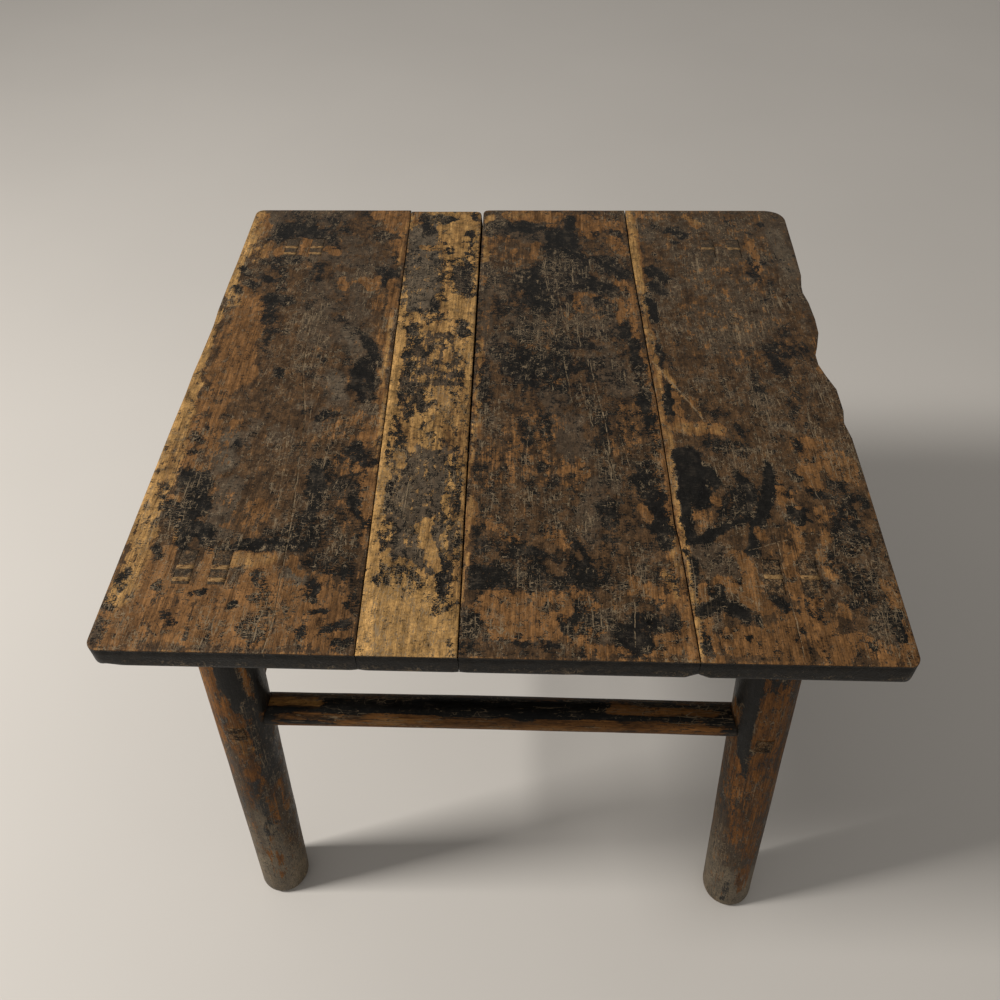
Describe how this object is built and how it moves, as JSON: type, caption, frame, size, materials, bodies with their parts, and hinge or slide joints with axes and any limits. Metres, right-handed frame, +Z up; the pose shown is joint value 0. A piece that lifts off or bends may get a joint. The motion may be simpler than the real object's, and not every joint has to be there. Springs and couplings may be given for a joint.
{
  "type": "low square table",
  "caption": "Square country table with an edge-joined board top, round splayed legs through-tenoned and wedged into it, and coped round stretchers.",
  "frame": {"origin": "on the floor, under the middle of the top", "axes": "+X to the right, +Y to the back, along the boards, +Z up"},
  "size_m": [0.62, 0.62, 0.56],
  "materials": {
    "lacquered_board": "worn black lacquer over brown wood",
    "pale_board": "worn black lacquer over pale wood",
    "leg_wood": "worn lacquer, dull",
    "stretcher_wood": "worn lacquer, dull",
    "wedge_wood": "bare, dull",
    "batten_wood": "bare, aged",
    "peg_wood": "bare"
  },
  "bodies": {
    "root": {"batten_back": "batten_wood", "batten_front": "batten_wood", "leg_back_left": "leg_wood", "leg_back_right": "leg_wood", "leg_front_left": "leg_wood", "leg_front_right": "leg_wood", "seam_pegs_left": "peg_wood", "seam_pegs_middle": "peg_wood", "seam_pegs_right": "peg_wood", "stretcher_back": "stretcher_wood", "stretcher_front": "stretcher_wood", "stretcher_left": "stretcher_wood", "stretcher_right": "stretcher_wood", "stretcher_wedges_back_left": "wedge_wood", "stretcher_wedges_back_right": "wedge_wood", "stretcher_wedges_front_left": "wedge_wood", "stretcher_wedges_front_right": "wedge_wood", "tenon_wedges_back_left_inner": "wedge_wood", "tenon_wedges_back_left_outer": "wedge_wood", "tenon_wedges_back_right_inner": "wedge_wood", "tenon_wedges_back_right_outer": "wedge_wood", "tenon_wedges_front_left_inner": "wedge_wood", "tenon_wedges_front_left_outer": "wedge_wood", "tenon_wedges_front_right_inner": "wedge_wood", "tenon_wedges_front_right_outer": "wedge_wood", "top_board_left": "lacquered_board", "top_board_middle": "lacquered_board", "top_board_narrow": "pale_board", "top_board_right": "lacquered_board"}
  },
  "joints": []
}
